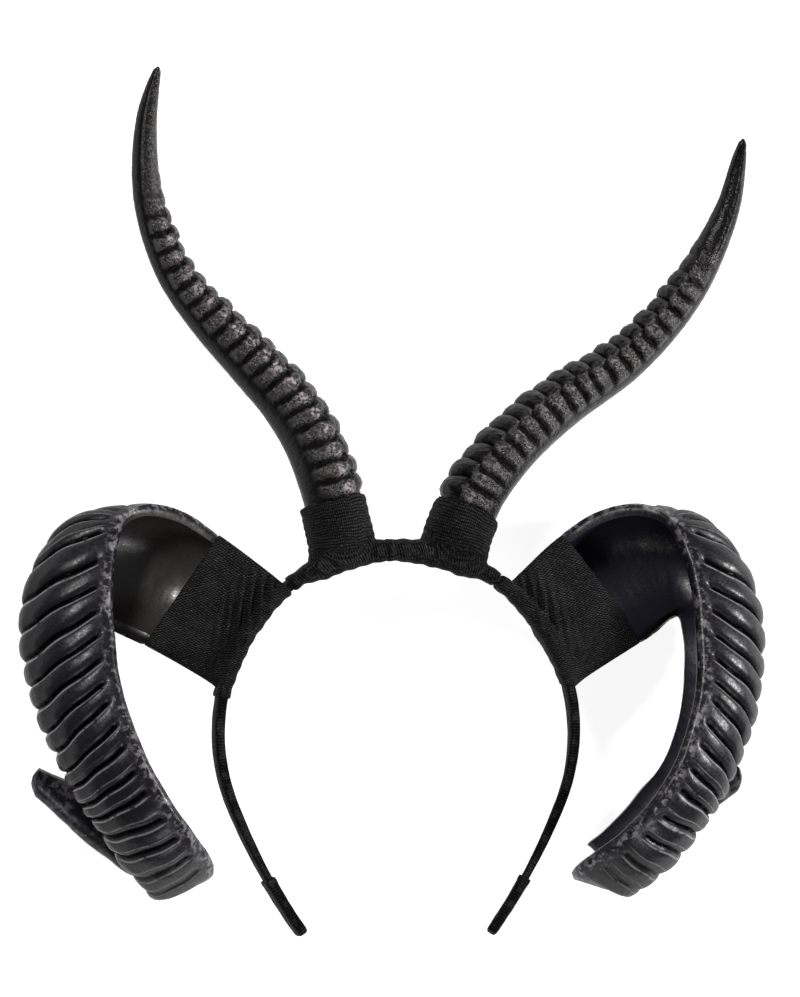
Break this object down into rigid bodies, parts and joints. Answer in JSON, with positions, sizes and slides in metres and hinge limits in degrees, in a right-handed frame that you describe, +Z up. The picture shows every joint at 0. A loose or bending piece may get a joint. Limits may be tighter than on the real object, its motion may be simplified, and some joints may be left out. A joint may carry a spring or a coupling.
{
  "type": "devil horns headband",
  "caption": "Black fabric hairband carrying long S-curved ringed horns on its crown and curled ribbed ram horns at its sides, each tied on with wrapped cloth.",
  "frame": {"origin": "middle of the box round the headband, on the surface that it lies on", "axes": "+X across the band to the wearer's left when worn, +Y from the band's ends to its crown, +Z up, out of the band's front"},
  "size_m": [0.28, 0.3204, 0.0622],
  "materials": {
    "band_cloth": "black woven ribbon",
    "ribbon": "black twill and knitted ribbon",
    "horn": "rough cast, satin black with worn brown glints",
    "shell": "satin purplish black with worn rib crests"
  },
  "bodies": {
    "root": {"band": "band_cloth", "band_end_left": "band_cloth", "band_end_right": "band_cloth", "upper_horn_left": "horn", "upper_horn_right": "horn", "upper_wrap_left": "ribbon", "upper_wrap_right": "ribbon", "ram_horn_left": "shell", "ram_horn_right": "shell", "ram_wrap_left": "ribbon", "ram_wrap_right": "ribbon"}
  },
  "joints": []
}
